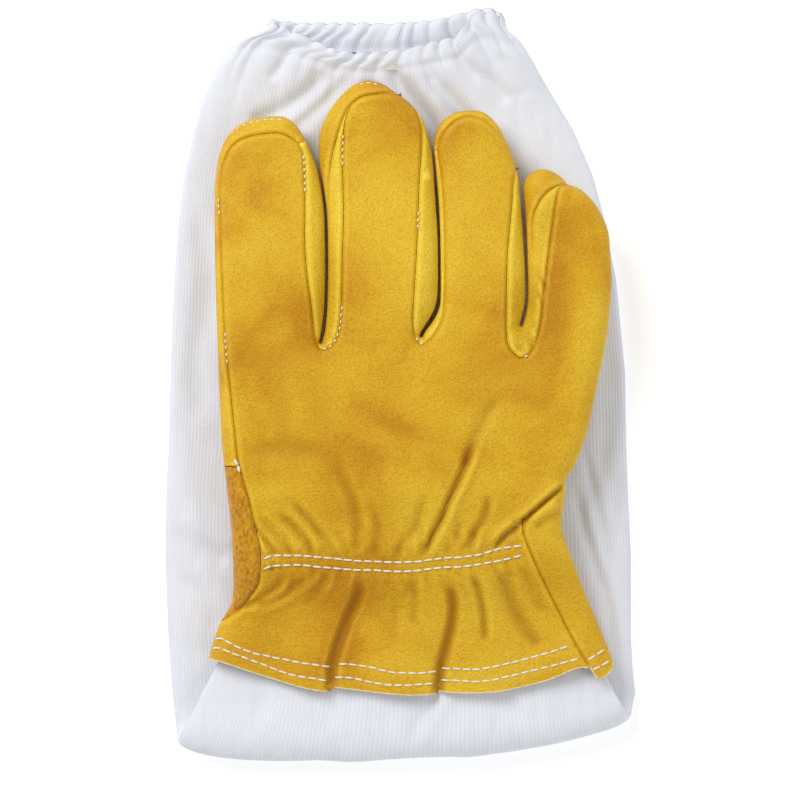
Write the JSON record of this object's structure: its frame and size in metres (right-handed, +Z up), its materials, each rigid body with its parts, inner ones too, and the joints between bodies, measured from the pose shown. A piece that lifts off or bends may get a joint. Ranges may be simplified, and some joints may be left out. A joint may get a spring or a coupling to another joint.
{
  "type": "beekeeping glove",
  "caption": "Leather beekeeping glove for the right hand, packed flat, with a long white canvas sleeve folded under it and an elastic mouth.",
  "frame": {"origin": "centre of the bounding box's bottom face, on the surface that the packed glove lies on", "axes": "+Y towards the fingertips and the sleeve's mouth, +X towards the little finger, +Z up, out of the back of the hand"},
  "size_m": [0.166, 0.2631, 0.0336],
  "materials": {
    "goatskin_leather": "soft, matt, fine grain",
    "suede": "rough nap",
    "sleeve_canvas": "matt, finely ribbed weave",
    "elastic": "matt, knitted"
  },
  "bodies": {
    "glove": {"back_panel": "goatskin_leather", "palm_panel": "goatskin_leather", "palm_cuff": "goatskin_leather", "fourchette_index_middle": "goatskin_leather", "fourchette_middle_ring": "goatskin_leather", "fourchette_ring_little": "goatskin_leather", "suede_side_patch": "suede", "wrist_elastic": "elastic", "sleeve_stub": "sleeve_canvas"},
    "thumb": {"thumb_back": "goatskin_leather", "thumb_front": "goatskin_leather"},
    "sleeve": {"sleeve_tube": "sleeve_canvas", "mouth_casing": "sleeve_canvas", "mouth_elastic": "elastic"}
  },
  "joints": [
    {"name": "sleeve_fold", "type": "hinge", "parent": "glove", "child": "sleeve", "pos_m": [0, -0.132, 0.01], "axis": [-1, 0, 0], "range_deg": [0, 180]},
    {"name": "thumb_swing", "type": "hinge", "parent": "glove", "child": "thumb", "pos_m": [-0.043, -0.0335, 0.0138], "axis": [0, 0, 1], "range_deg": [0, 80]}
  ]
}
